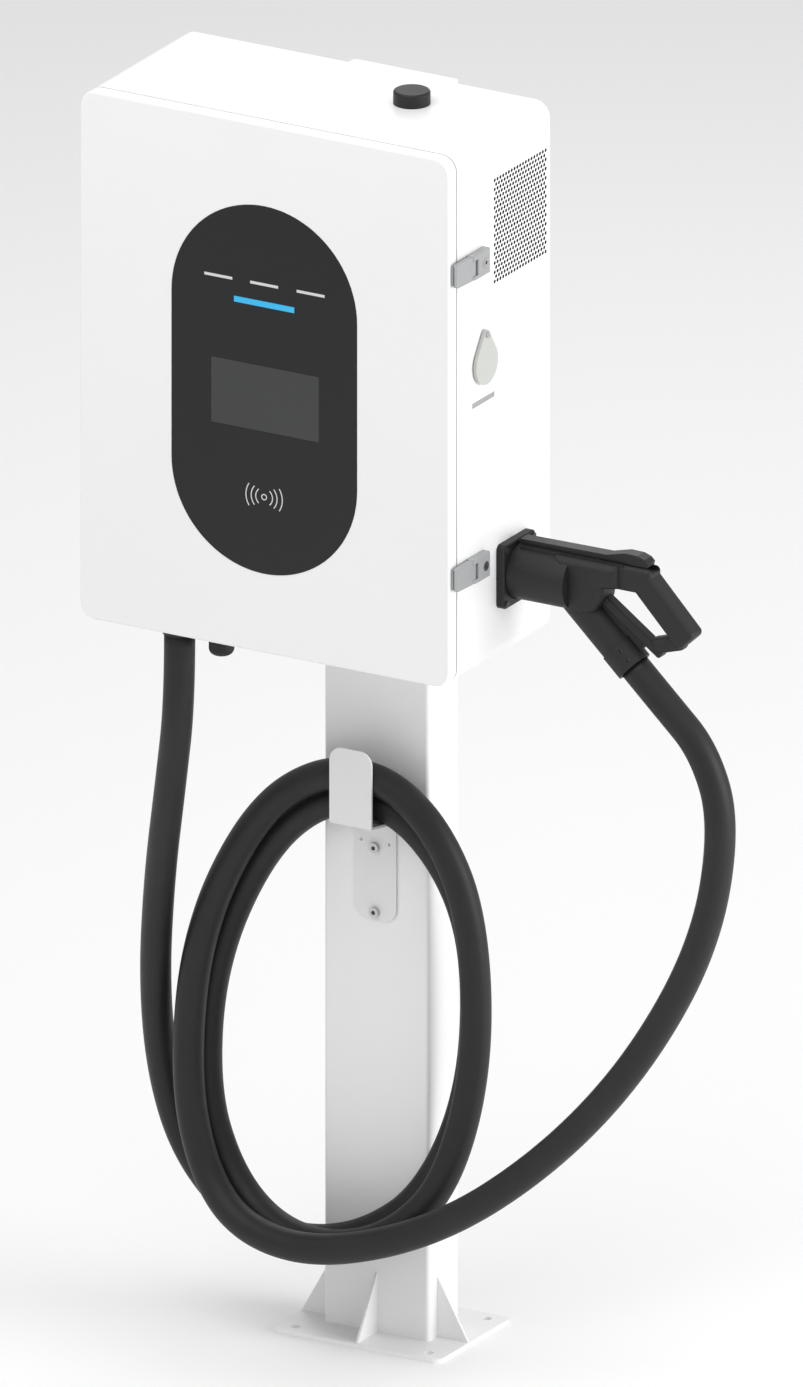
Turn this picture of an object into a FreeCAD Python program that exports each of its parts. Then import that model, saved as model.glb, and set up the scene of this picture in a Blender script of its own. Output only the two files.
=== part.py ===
import FreeCAD, Part
import math
import os

# Charging post: a floor-standing column that carries a cabinet, a cable hook and a parked charging gun.
# Millimetres. +Z up, -Y is the front, +X is the gun side. Origin: centre of the underside of the base plate.

V = FreeCAD.Vector

# ---- running clearances -----------------------------------------------------------------------
SHAFT_GAP = 0.05
MOVE_GAP = 0.3
SHEET = 2.0

# ---- column and base ----------------------------------------------------------------------------
BASE_X = 240.0
BASE_Y = 180.0
BASE_T = 6.0
BASE_CORNER_R = 12.0
BASE_HOLE_X = 190.0
BASE_HOLE_Y = 144.0
BASE_HOLE_R = 6.0
CABLE_ENTRY_R = 25.0
RIB_T = 3.0
RIB_TOP = 85.0
SIDE_RIB_Y = -15.0
RIB_EDGE = 4.0
COLUMN_X = 150.0
COLUMN_Y = 75.0
COLUMN_WALL = 3.0
COLUMN_CORNER_R = 5.0
COLUMN_TOP = 1643.0
CAP_T = 3.0
CAP_PLUG = 14.0
CAP_FIT = 0.2

# ---- cabinet --------------------------------------------------------------------------------------
CAB_W = 528.0
CAB_BOTTOM = 987.0
CAB_H = 696.0
CAB_CORNER_R = 21.5
CAB_BACK = -65.0
CAB_DEPTH = 229.5
DOOR_GAP = 2.5
DOOR_T = 18.0
LIP_INSET = 14.0
LIP_DEPTH = 9.5
SEAL_W = 12.0
DOOR_EDGE_R = 3.0
CAB_MID = CAB_BOTTOM + CAB_H / 2
CAB_SIDE = CAB_W / 2
CAB_FRONT = CAB_BACK - CAB_DEPTH
DOOR_BACK = CAB_FRONT - DOOR_GAP
DOOR_FRONT = DOOR_BACK - DOOR_T
CAB_TOP = CAB_BOTTOM + CAB_H
COLUMN_FRONT = -COLUMN_Y / 2

# ---- rails between column and cabinet -------------------------------------------------------------
RAIL_L = 280.0
RAIL_H = 40.0
RAIL_WALL = 3.0
RAIL_Z = (CAB_BOTTOM + 88.0, CAB_TOP - 83.0)
RAIL_CAB_BOLT_X = 110.0
RAIL_COL_BOLT_X = 45.0
RAIL_BOLT_R = 4.0
RAIL_HEAD_R = 6.5
RAIL_HEAD_T = 5.0

# ---- fascia and its electronics ---------------------------------------------------------------------
FASCIA_W = 265.0
FASCIA_H = 484.0
FASCIA_T = 2.4
FASCIA_Z = CAB_MID - 1.0
FASCIA_GAP = 0.3
CARRIER_RIM = 10.0
CARRIER_T = 3.0
SCREEN_W = 154.0
SCREEN_H = 86.0
SCREEN_X = 1.0
SCREEN_Z = FASCIA_Z - 12.0
SCREEN_GAP = 0.2
LIGHT_W = 86.0
LIGHT_H = 7.5
LIGHT_Z = FASCIA_Z + 113.0
READER_Z = FASCIA_Z - 140.0
CARRIER_FRONT = DOOR_FRONT + SHEET
CARRIER_BACK = CARRIER_FRONT + CARRIER_T
FASCIA_FRONT = CARRIER_FRONT - FASCIA_T

# ---- hinges -------------------------------------------------------------------------------------------
HINGE_OUT = 4.5
HINGE_R = 4.0
HINGE_PIN_R = 1.95
HINGE_L = 60.0
HINGE_Z = (CAB_MID - 230.0, CAB_MID + 230.0)
HINGE_LEAF_T = 2.0
HINGE_X = -CAB_SIDE - HINGE_OUT
HINGE_Y = DOOR_BACK + 1.0

# ---- latches ------------------------------------------------------------------------------------------
LATCH_Z = (CAB_MID - 205.0, CAB_MID + 195.0)
LATCH_H = 31.0
LATCH_PIN_Y = DOOR_BACK + 29.0
LATCH_PIN_OUT = 6.0
LATCH_PIN_R = 2.0
LATCH_BASE_BACK = DOOR_BACK + 66.0
LATCH_OUT_FRONT = 7.0
LATCH_OUT_BACK = 12.0
LATCH_CHEEK = 5.0
CATCH_T = 3.0
LATCH_NOSE_R = 6.0
LATCH_CORNER_R = 5.0
LATCH_KNUCKLE_R = 4.5
LATCH_PIN_X = CAB_SIDE + LATCH_PIN_OUT
LOCK_Y = LATCH_PIN_Y + 24.0
LOCK_R = 6.2
LOCK_HOLE_R = 2.4

# ---- stop button and its cover ----------------------------------------------------------------------
STOP_Y = -230.0
STOP_Z = CAB_MID + 56.0
STOP_HOLE_R = 22.5
STOP_CUP_DEPTH = 28.0
STOP_RIM_R = 25.5
STOP_RIM_T = 0.8
COVER_R = 27.0
COVER_T = 4.7
COVER_TIP_R = 6.0
COVER_PIVOT_UP = 38.5
COVER_SCREW_R = 2.5
BUTTON_R = 17.0
STEM_R = 5.0
STEM_BACK = CAB_SIDE - STOP_CUP_DEPTH - 22.0
STEM_FRONT = CAB_SIDE - 16.0
BUTTON_BACK = STEM_FRONT - 6.0
BUTTON_FRONT = CAB_SIDE - 5.0
COVER_BACK = CAB_SIDE + STOP_RIM_T + 0.5
COVER_FRONT = COVER_BACK + COVER_T

# ---- side vents and fan -------------------------------------------------------------------------------
VENT_Y = -138.5
VENT_Z = CAB_TOP - 127.0
VENT_W = 133.0
VENT_H = 139.0
VENT_HOLE_R = 2.5
VENT_PITCH = 7.0
VENT_COLS = 19
VENT_ROWS = 23
FILTER_T = 3.0
FAN_SIZE = 120.0
FAN_T = 38.0
FAN_BORE_R = 57.0
FAN_HUB_R = 21.0
FAN_TIP_R = 55.5
FAN_BLADES = 7
FAN_FRONT = CAB_SIDE - SHEET - FILTER_T

# ---- antenna --------------------------------------------------------------------------------------------
ANTENNA_X = 118.0
ANTENNA_Y = -154.0
ANTENNA_R = 23.25
ANTENNA_H = 17.5
ANTENNA_STUD_R = 6.0

# ---- gun holder -----------------------------------------------------------------------------------------
HOLDER_Y = -158.0
HOLDER_Z = CAB_BOTTOM + 111.0
HOLDER_W = 80.0
HOLDER_H = 84.0
HOLDER_T = 11.0
HOLDER_BORE_R = 37.0
HOLDER_CUP_WALL = 3.0
HOLDER_CUP_DEPTH = 22.0
HOLDER_SEAT_DEPTH = 46.0
HOLDER_SCREW_Y = 66.0
HOLDER_SCREW_Z = 70.0
HOLDER_SCREW_R = 2.5
HOLDER_FACE = CAB_SIDE + HOLDER_T
SHELL_HOLE_GAP = 0.3

# ---- gun ------------------------------------------------------------------------------------------------
GUN_R = 36.0
GUN_BACK = CAB_SIDE - 12.0
GUN_TOP = HOLDER_Z + 38.0
HEAD_T = 46.0
HANDLE_T = 30.0
HANDLE_W = 33.0
STRIP_T = 18.0
STRIP_W = 12.0
BRANCH_R = 22.5
BRANCH_L = 130.0
BRANCH_DIR = V(0.7256, 0, -0.688).normalize()
BRANCH_SIDE = V(-BRANCH_DIR.z, 0, BRANCH_DIR.x)
BRANCH_END = V(CAB_SIDE + 175, HOLDER_Y, HOLDER_Z - 98)
COLLAR_R = 24.0
COLLAR_L = 32.0
COLLAR_SCREW_R = 2.5
COLLAR_SCREWS = [BRANCH_END - BRANCH_DIR * d + BRANCH_SIDE * 13 for d in (9, 23)]
HEAD_OUTLINE = (
    (71, 36),
    (161, 36),
    (161, 6),
    (140, 2),
    (137, -15),
    (128, -30),
    (108, -38),
    (81, -23),
)
HEAD_EDGE_R = 10.0
HANDLE_EDGE_R = 7.0
BARREL_END = CAB_SIDE + 92.0
HOOD = (CAB_SIDE + 19.0, CAB_SIDE + 166.0)
HOOD_HALF_W = 14.0
TOP_BAR = ((126, 20.5), (206, 20.5))
HANDLE = ((182, 28), (256, -50.4))
FOOT = ((202, -65), (248, -51))
FOOT_W = 21.0
FOOT_T = 22.0
STRIP = ((130.8, -12.6), (216.8, -74.2))
WEB_OUTLINE = (
    (118, -16),
    (134, -14),
    (198, -59),
    (186, -74.4),
    (168, -57.2),
    (161.4, -64.2),
    (140, -52),
    (120, -36),
)
WEB_T = 10.0
NOSE_END = CAB_SIDE + 80.0
NOSE_R = 28.0
NOSE_GAP = 0.4
LEVER_W = 18.0
LEVER_PIN_X = CAB_SIDE + 131.0
LEVER_PIN_Z = GUN_TOP - 6.0
LEVER_PIN_R = 2.0

# ---- hook -----------------------------------------------------------------------------------------------
HOOK_W = 60.0
HOOK_T = 3.0
HOOK_REACH = 64.5
HOOK_BOTTOM = 549.0
HOOK_FLOOR_Z = 692.0
HOOK_TOP = 792.0
HOOK_SLOPE = math.tan(math.radians(10.0))
HOOK_TOP_R = 17.0
HOOK_FOOT_R = 18.0
HOOK_SCREW_Z = (560.0, 645.0)
HOOK_SCREW_R = 4.0
HOOK_HEAD_R = 6.5
HOOK_HOLE_X = 20.0
HOOK_HOLE_Z = 652.0
HOOK_HOLE_R = 2.0

# ---- cable ----------------------------------------------------------------------------------------------
CABLE_R = 19.5
GLAND_X = -173.0
GLAND_Y = -225.0
GLAND_END = 955.0
SUPPLY_X = -113.0
SUPPLY_END = 937.0
WIRE_HOLE_X = 57.0
WIRE_HOLE_Z = CAB_BOTTOM + 49.0
WIRE_HOLE_R = 14.0
GLAND_LEAD = (
    (GLAND_X, GLAND_Y, GLAND_END),
    (GLAND_X, GLAND_Y, 862),
    (-205, -192, 740),
    (-253, -137, 590),
    (-291, -84, 425),
    (-303, -40, 285),
    (-278, -22, 185),
    (-200, -38, 126),
    (-95, -60, 113),
)
HOOK_TURNS = (
    (2, -59, 140),
    (88, -58, 212),
    (136, -36, 345),
    (144, -35, 515),
    (119, -50, 631),
    (45, -62, 714),
    (-54, -60, 711),
    (-150, -54, 627),
    (-228, -49, 460),
    (-236, -57, 290),
    (-190, -72, 190),
    (-115, -93, 139),
    (-26, -104, 131),
    (62, -102, 163),
    (132, -90, 241),
    (170, -74, 402),
    (165, -79, 596),
    (112, -82, 705),
    (30, -78.6, 757),
    (-62, -79, 747),
    (-146, -88, 676),
    (-223, -93, 514),
    (-240, -97, 325),
    (-206, -111, 200),
    (-134, -134, 139),
    (-15, -144, 133),
)
GUN_LEAD = (
    (152, -143, 202),
    (307, -145, 329),
    (434, -149, 479),
    (530, -153, 654),
    (561, -156, 815),
    (535, -157, 910),
    tuple(BRANCH_END + BRANCH_DIR * 61),
    tuple(BRANCH_END),
)
ARC_SHARE = 0.45
BACKWARD = (0, 1, 0)

# ---- inside the cabinet ---------------------------------------------------------------------------------
PLATE_BACK = CAB_BACK - 8.0
PLATE_T = 2.0
PLATE_FRONT = PLATE_BACK - PLATE_T
RACK_X = 78.0
RACK_RAIL_T = 7.5
RAIL_FACE = PLATE_FRONT - RACK_RAIL_T
TOGGLE_Y = RAIL_FACE - 66.0
TOGGLE_Z = CAB_MID + 106.5


def box(x0, x1, y0, y1, z0, z1):
    return Part.makeBox(x1 - x0, y1 - y0, z1 - z0, V(x0, y0, z0))


def rod(x, y, z, axis, r, length):
    return Part.makeCylinder(r, length, V(x, y, z), V(*axis))


def along_x(x0, x1, y, z, r):
    return rod(x0, y, z, (1, 0, 0), r, x1 - x0)


def along_y(x, y0, y1, z, r):
    return rod(x, y0, z, (0, 1, 0), r, y1 - y0)


def along_z(x, y, z0, z1, r):
    return rod(x, y, z0, (0, 0, 1), r, z1 - z0)


def fuse(first, *others):
    return first.multiFuse(list(others)).removeSplitter()


def cut(first, *others):
    for other in others:
        first = first.cut(other)
    return first


def group(solids):
    return Part.makeCompound(list(solids))


def prism_y(points, y0, y1):
    """A flat outline of (x, z) points, pushed from y0 to y1."""
    ring = [V(x, y0, z) for x, z in points]
    ring.append(ring[0])
    return Part.Face(Part.makePolygon(ring)).extrude(V(0, y1 - y0, 0))


def prism_x(points, x0, x1):
    """A flat outline of (y, z) points, pushed from x0 to x1."""
    ring = [V(x0, y, z) for y, z in points]
    ring.append(ring[0])
    return Part.Face(Part.makePolygon(ring)).extrude(V(x1 - x0, 0, 0))


def prism_z(points, z0, z1):
    """A flat outline of (x, y) points, pushed from z0 to z1."""
    ring = [V(x, y, z0) for x, y in points]
    ring.append(ring[0])
    return Part.Face(Part.makePolygon(ring)).extrude(V(0, 0, z1 - z0))


def edges_along(shape, axis):
    """The straight edges of a shape that run along one axis."""
    found = []
    for edge in shape.Edges:
        if isinstance(edge.Curve, (Part.Line, Part.LineSegment)):
            way = (edge.Vertexes[1].Point - edge.Vertexes[0].Point).normalize()
            if abs(way.dot(V(*axis))) > 0.999:
                found.append(edge)
    return found


def rounded_slab(w, h, x, z, y0, y1, r):
    """A slab that faces the front, with its four corners rounded."""
    slab = box(x - w / 2, x + w / 2, y0, y1, z - h / 2, z + h / 2)
    return slab.makeFillet(r, edges_along(slab, (0, 1, 0)))


def stadium(w, h, z, y0, y1, x=0.0):
    """An upright slab with half-round ends."""
    r = w / 2
    middle = box(x - r, x + r, y0, y1, z - h / 2 + r, z + h / 2 - r)
    return fuse(middle, along_y(x, y0, y1, z - h / 2 + r, r), along_y(x, y0, y1, z + h / 2 - r, r))


def bolt(x, y, z, axis, shank_r, shank_l, head_r, head_t):
    """A headed screw: pos is under the head, axis is the way the shank points."""
    way = V(*axis)
    shank = Part.makeCylinder(shank_r, shank_l, V(x, y, z), way)
    head = Part.makeCylinder(head_r, head_t, V(x, y, z) - way * head_t, way)
    return fuse(shank, head)


def cabinet_slab(inset, y0, y1):
    """The cabinet's front outline, made smaller all round by inset."""
    r = max(CAB_CORNER_R - inset, 3.0)
    return rounded_slab(CAB_W - 2 * inset, CAB_H - 2 * inset, 0, CAB_MID, y0, y1, r)


# ---- base plate, ribs, column ---------------------------------------------------------------------
def make_base_plate():
    plate = box(-BASE_X / 2, BASE_X / 2, -BASE_Y / 2, BASE_Y / 2, 0, BASE_T)
    plate = plate.makeFillet(BASE_CORNER_R, edges_along(plate, (0, 0, 1)))
    for sx in (-1, 1):
        for sy in (-1, 1):
            hole = along_z(sx * BASE_HOLE_X / 2, sy * BASE_HOLE_Y / 2, -1, BASE_T + 1, BASE_HOLE_R)
            plate = plate.cut(hole)
    return plate.cut(along_z(0, 0, -1, BASE_T + 1, CABLE_ENTRY_R))


def make_base_ribs():
    side_reach = BASE_X / 2 - 1.0
    front_reach = BASE_Y / 2 - RIB_EDGE
    ribs = []
    for s in (-1, 1):
        side = [(s * COLUMN_X / 2, BASE_T), (s * side_reach, BASE_T), (s * COLUMN_X / 2, RIB_TOP)]
        ribs.append(prism_y(side, SIDE_RIB_Y - RIB_T / 2, SIDE_RIB_Y + RIB_T / 2))
        front = [(s * COLUMN_Y / 2, BASE_T), (s * front_reach, BASE_T), (s * COLUMN_Y / 2, RIB_TOP)]
        ribs.append(prism_x(front, -RIB_T / 2, RIB_T / 2))
    return group(ribs)


def make_column_tube():
    outer = box(-COLUMN_X / 2, COLUMN_X / 2, -COLUMN_Y / 2, COLUMN_Y / 2, BASE_T, COLUMN_TOP)
    outer = outer.makeFillet(COLUMN_CORNER_R, edges_along(outer, (0, 0, 1)))
    hx = COLUMN_X / 2 - COLUMN_WALL
    hy = COLUMN_Y / 2 - COLUMN_WALL
    inner = box(-hx, hx, -hy, hy, BASE_T - 1, COLUMN_TOP + 1)
    inner = inner.makeFillet(COLUMN_CORNER_R - COLUMN_WALL, edges_along(inner, (0, 0, 1)))
    tube = outer.cut(inner)
    back = COLUMN_FRONT + COLUMN_WALL + 1
    for z in RAIL_Z:
        for s in (-1, 1):
            tube = tube.cut(along_y(s * RAIL_COL_BOLT_X, COLUMN_FRONT - 1, back, z, RAIL_BOLT_R))
    for z in HOOK_SCREW_Z:
        tube = tube.cut(along_y(0, COLUMN_FRONT - 1, back, z, HOOK_SCREW_R))
    return tube.cut(along_y(WIRE_HOLE_X, COLUMN_FRONT - 1, back, WIRE_HOLE_Z, WIRE_HOLE_R))


def make_column_cap():
    lid = box(-COLUMN_X / 2, COLUMN_X / 2, -COLUMN_Y / 2, COLUMN_Y / 2, COLUMN_TOP, COLUMN_TOP + CAP_T)
    lid = lid.makeFillet(COLUMN_CORNER_R, edges_along(lid, (0, 0, 1)))
    hx = COLUMN_X / 2 - COLUMN_WALL - CAP_FIT
    hy = COLUMN_Y / 2 - COLUMN_WALL - CAP_FIT
    plug = box(-hx, hx, -hy, hy, COLUMN_TOP - CAP_PLUG, COLUMN_TOP)
    plug = plug.makeFillet(COLUMN_CORNER_R - COLUMN_WALL, edges_along(plug, (0, 0, 1)))
    hollow = box(-hx + 3, hx - 3, -hy + 3, hy - 3, COLUMN_TOP - CAP_PLUG - 1, COLUMN_TOP)
    return fuse(lid, plug).cut(hollow)


# ---- rails that carry the cabinet -----------------------------------------------------------------
def make_mounting_rails():
    rails = []
    for z in RAIL_Z:
        tube = box(-RAIL_L / 2, RAIL_L / 2, CAB_BACK, COLUMN_FRONT, z - RAIL_H / 2, z + RAIL_H / 2)
        bore = box(
            -RAIL_L / 2 - 1,
            RAIL_L / 2 + 1,
            CAB_BACK + RAIL_WALL,
            COLUMN_FRONT - RAIL_WALL,
            z - RAIL_H / 2 + RAIL_WALL,
            z + RAIL_H / 2 - RAIL_WALL,
        )
        rail = tube.cut(bore)
        for s in (-1, 1):
            front = along_y(s * RAIL_CAB_BOLT_X, CAB_BACK - 1, CAB_BACK + RAIL_WALL + 1, z, RAIL_BOLT_R)
            near = COLUMN_FRONT - RAIL_WALL - 1
            back = along_y(s * RAIL_COL_BOLT_X, near, COLUMN_FRONT + 1, z, RAIL_BOLT_R)
            access = along_y(s * RAIL_COL_BOLT_X, CAB_BACK - 1, CAB_BACK + RAIL_WALL + 1, z, RAIL_HEAD_R + 1)
            rail = cut(rail, front, back, access)
        rails.append(rail)
    return group(rails)


def make_rail_bolts():
    bolts = []
    for z in RAIL_Z:
        for s in (-1, 1):
            cab_head = CAB_BACK - SHEET
            reach = SHEET + RAIL_WALL + 6
            bolts.append(
                bolt(s * RAIL_CAB_BOLT_X, cab_head, z, BACKWARD, RAIL_BOLT_R, reach, RAIL_HEAD_R, RAIL_HEAD_T)
            )
            col_head = COLUMN_FRONT - RAIL_WALL
            reach = RAIL_WALL + COLUMN_WALL + 6
            bolts.append(
                bolt(s * RAIL_COL_BOLT_X, col_head, z, BACKWARD, RAIL_BOLT_R, reach, RAIL_HEAD_R, RAIL_HEAD_T)
            )
    return group(bolts)


# ---- cabinet shell ----------------------------------------------------------------------------------
def vent_opening(x0, x1):
    return box(x0, x1, VENT_Y - VENT_W / 2, VENT_Y + VENT_W / 2, VENT_Z - VENT_H / 2, VENT_Z + VENT_H / 2)


def make_cabinet_shell():
    outer = cabinet_slab(0, CAB_FRONT, CAB_BACK)
    room = cabinet_slab(SHEET, CAB_FRONT + SHEET, CAB_BACK - SHEET)
    mouth = cabinet_slab(LIP_INSET + SHEET, CAB_FRONT - 1, CAB_FRONT + SHEET + 1)
    shell = outer.cut(room).cut(mouth)
    lip = cabinet_slab(LIP_INSET, CAB_FRONT - LIP_DEPTH, CAB_FRONT)
    lip = lip.cut(cabinet_slab(LIP_INSET + SHEET, CAB_FRONT - LIP_DEPTH - 1, CAB_FRONT + 1))
    shell = fuse(shell, lip)
    right = (CAB_SIDE - SHEET - 1, CAB_SIDE + 1)
    left = (-CAB_SIDE - 1, -CAB_SIDE + SHEET + 1)
    cuts = [
        vent_opening(*right),
        vent_opening(*left),
        along_x(*right, STOP_Y, STOP_Z, STOP_HOLE_R + 1),
        along_x(*right, STOP_Y, STOP_Z + COVER_PIVOT_UP, COVER_SCREW_R),
        along_x(*right, HOLDER_Y, HOLDER_Z, HOLDER_BORE_R + HOLDER_CUP_WALL + SHELL_HOLE_GAP),
        along_z(GLAND_X, GLAND_Y, CAB_BOTTOM - 1, CAB_BOTTOM + SHEET + 1, 20.0),
        along_z(SUPPLY_X, GLAND_Y, CAB_BOTTOM - 1, CAB_BOTTOM + SHEET + 1, 12.5),
        along_z(ANTENNA_X, ANTENNA_Y, CAB_TOP - SHEET - 1, CAB_TOP + 1, ANTENNA_STUD_R),
        along_y(WIRE_HOLE_X, CAB_BACK - SHEET - 1, CAB_BACK + 1, WIRE_HOLE_Z, WIRE_HOLE_R),
    ]
    for sy in (-1, 1):
        for sz in (-1, 1):
            y = HOLDER_Y + sy * HOLDER_SCREW_Y / 2
            z = HOLDER_Z + sz * HOLDER_SCREW_Z / 2
            cuts.append(along_x(*right, y, z, HOLDER_SCREW_R))
    for z in RAIL_Z:
        for s in (-1, 1):
            cuts.append(along_y(s * RAIL_CAB_BOLT_X, CAB_BACK - SHEET - 1, CAB_BACK + 1, z, RAIL_BOLT_R))
            cuts.append(along_y(s * RAIL_COL_BOLT_X, CAB_BACK - SHEET - 1, CAB_BACK + 1, z, RAIL_HEAD_R + 1))
    return cut(shell, *cuts)


def vent_panel(x0):
    """A flat panel with staggered rows of round holes."""
    panel = vent_opening(x0, x0 + SHEET)
    row_pitch = VENT_PITCH * math.sqrt(3) / 2
    holes = []
    for row in range(VENT_ROWS):
        shift = VENT_PITCH / 2 if row % 2 else 0.0
        z = VENT_Z + (row - (VENT_ROWS - 1) / 2) * row_pitch
        for col in range(VENT_COLS - row % 2):
            y = VENT_Y + (col - (VENT_COLS - 1) / 2) * VENT_PITCH + shift
            holes.append(along_x(x0 - 1, x0 + SHEET + 1, y, z, VENT_HOLE_R))
    return panel.cut(group(holes))


def make_vent_panels():
    return group([vent_panel(CAB_SIDE - SHEET), vent_panel(-CAB_SIDE)])


def make_vent_filters():
    right = CAB_SIDE - SHEET
    return group([vent_opening(right - FILTER_T, right), vent_opening(-right, -right + FILTER_T)])


def make_fan_frame():
    x1 = FAN_FRONT
    x0 = x1 - FAN_T
    half = FAN_SIZE / 2
    frame = box(x0, x1, VENT_Y - half, VENT_Y + half, VENT_Z - half, VENT_Z + half)
    frame = frame.makeFillet(6.0, edges_along(frame, (1, 0, 0)))
    frame = frame.cut(along_x(x0 - 1, x1 + 1, VENT_Y, VENT_Z, FAN_BORE_R))
    motor = along_x(x0, x0 + 5, VENT_Y, VENT_Z, FAN_HUB_R)
    struts = [
        box(x0, x0 + 4, VENT_Y - half + 2, VENT_Y + half - 2, VENT_Z - 3, VENT_Z + 3),
        box(x0, x0 + 4, VENT_Y - 3, VENT_Y + 3, VENT_Z - half + 2, VENT_Z + half - 2),
    ]
    axle = along_x(x0 + 5, x0 + 16, VENT_Y, VENT_Z, 3.0)
    return fuse(frame, motor, axle, *struts)


def make_fan_rotor():
    x0 = FAN_FRONT - FAN_T + 6
    hub = along_x(x0, x0 + 26, VENT_Y, VENT_Z, FAN_HUB_R)
    blades = []
    for i in range(FAN_BLADES):
        z = (VENT_Z + FAN_HUB_R - 3, VENT_Z + FAN_TIP_R - 1.5)
        blade = box(x0 + 12, x0 + 14, VENT_Y - 11, VENT_Y + 11, *z)
        blade.rotate(V(x0 + 13, VENT_Y, VENT_Z), V(0, 0, 1), 38)
        blade.rotate(V(x0 + 13, VENT_Y, VENT_Z), V(1, 0, 0), 360.0 * i / FAN_BLADES)
        blades.append(blade)
    bore = along_x(x0 - 1, x0 + 10.5, VENT_Y, VENT_Z, 3.0 + SHAFT_GAP)
    return fuse(hub, *blades).cut(bore)


# ---- antenna and glands --------------------------------------------------------------------------------
def make_antenna_cap():
    puck = along_z(ANTENNA_X, ANTENNA_Y, CAB_TOP, CAB_TOP + ANTENNA_H, ANTENNA_R)
    rim = [e for e in puck.Edges if isinstance(e.Curve, Part.Circle) and e.CenterOfMass.z > CAB_TOP + 1]
    puck = puck.makeFillet(3.0, rim)
    stud = along_z(ANTENNA_X, ANTENNA_Y, CAB_TOP - SHEET - 14, CAB_TOP, ANTENNA_STUD_R)
    nut = along_z(ANTENNA_X, ANTENNA_Y, CAB_TOP - SHEET - 6, CAB_TOP - SHEET, 11.0)
    return fuse(puck, stud, nut)


def hexagon(x, y, z0, z1, across):
    r = across / math.sqrt(3)
    turns = [math.radians(60 * i) for i in range(6)]
    corners = [(x + r * math.cos(t), y + r * math.sin(t)) for t in turns]
    return prism_z(corners, z0, z1)


def make_output_gland():
    body = hexagon(GLAND_X, GLAND_Y, CAB_BOTTOM - 12, CAB_BOTTOM, 52.0)
    dome_h = CAB_BOTTOM - 12 - GLAND_END
    dome = Part.makeCone(21.5, 24.5, dome_h, V(GLAND_X, GLAND_Y, GLAND_END), V(0, 0, 1))
    thread = along_z(GLAND_X, GLAND_Y, CAB_BOTTOM, CAB_BOTTOM + SHEET + 12, 20.0)
    nut = hexagon(GLAND_X, GLAND_Y, CAB_BOTTOM + SHEET, CAB_BOTTOM + SHEET + 7, 48.0)
    return fuse(body, dome, thread, nut)


def make_supply_gland():
    body = hexagon(SUPPLY_X, GLAND_Y, CAB_BOTTOM - 12, CAB_BOTTOM, 36.0)
    dome_h = CAB_BOTTOM - 12 - SUPPLY_END
    dome = along_z(SUPPLY_X, GLAND_Y, SUPPLY_END, SUPPLY_END + dome_h, 16.0)
    rim = [e for e in dome.Edges if isinstance(e.Curve, Part.Circle) and e.CenterOfMass.z < SUPPLY_END + 1]
    dome = dome.makeFillet(9.0, rim)
    thread = along_z(SUPPLY_X, GLAND_Y, CAB_BOTTOM, CAB_BOTTOM + SHEET + 12, 12.5)
    nut = hexagon(SUPPLY_X, GLAND_Y, CAB_BOTTOM + SHEET, CAB_BOTTOM + SHEET + 6, 34.0)
    return fuse(body, dome, thread, nut)


# ---- hinges -------------------------------------------------------------------------------------------
def hinge_half(z, fixed):
    """One leaf with its half of the barrel: the fixed leaf has the lower half, the door's has the upper."""
    bottom = z - HINGE_L / 2
    middle = z
    low, high = (bottom, middle - MOVE_GAP / 2) if fixed else (middle + MOVE_GAP / 2, bottom + HINGE_L)
    barrel = along_z(HINGE_X, HINGE_Y, low, high, HINGE_R)
    web_x1 = -CAB_SIDE - 0.6
    if fixed:
        leaf_y = (CAB_FRONT + 4, CAB_FRONT + 34)
        web = box(HINGE_X, web_x1, HINGE_Y, CAB_FRONT + 5, low, high)
    else:
        leaf_y = (DOOR_BACK - 10, DOOR_BACK - 2)
        web = box(HINGE_X, web_x1, DOOR_BACK - 6, HINGE_Y, low, high)
    leaf = box(-CAB_SIDE - HINGE_LEAF_T, -CAB_SIDE, *leaf_y, low, high)
    bore = along_z(HINGE_X, HINGE_Y, low - 1, high + 1, HINGE_PIN_R + SHAFT_GAP)
    return fuse(barrel, web, leaf).cut(bore)


def make_hinge_fixed_leaves():
    return group(hinge_half(z, True) for z in HINGE_Z)


def make_hinge_door_leaves():
    return group(hinge_half(z, False) for z in HINGE_Z)


def make_hinge_pins():
    return group(along_z(HINGE_X, HINGE_Y, z - HINGE_L / 2, z + HINGE_L / 2, HINGE_PIN_R) for z in HINGE_Z)


# ---- door -----------------------------------------------------------------------------------------------
def make_door_panel():
    outer = cabinet_slab(0, DOOR_FRONT, DOOR_BACK)
    rim = [e for e in outer.Edges if abs(e.CenterOfMass.y - DOOR_FRONT) < 0.1]
    outer = outer.makeFillet(DOOR_EDGE_R, rim)
    pan = cabinet_slab(SHEET, DOOR_FRONT + SHEET, DOOR_BACK + 1)
    gap = 2 * FASCIA_GAP
    opening = stadium(FASCIA_W + gap, FASCIA_H + gap, FASCIA_Z, DOOR_FRONT - 1, DOOR_FRONT + SHEET + 1)
    return cut(outer, pan, opening)


def make_door_seal():
    y0 = DOOR_FRONT + SHEET
    y1 = CAB_FRONT - LIP_DEPTH - MOVE_GAP
    inset = LIP_INSET + SHEET / 2 - SEAL_W / 2
    return cabinet_slab(inset, y0, y1).cut(cabinet_slab(inset + SEAL_W, y0 - 1, y1 + 1))


def screen_slab(grow, y0, y1):
    return box(
        SCREEN_X - SCREEN_W / 2 - grow,
        SCREEN_X + SCREEN_W / 2 + grow,
        y0,
        y1,
        SCREEN_Z - SCREEN_H / 2 - grow,
        SCREEN_Z + SCREEN_H / 2 + grow,
    )


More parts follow.
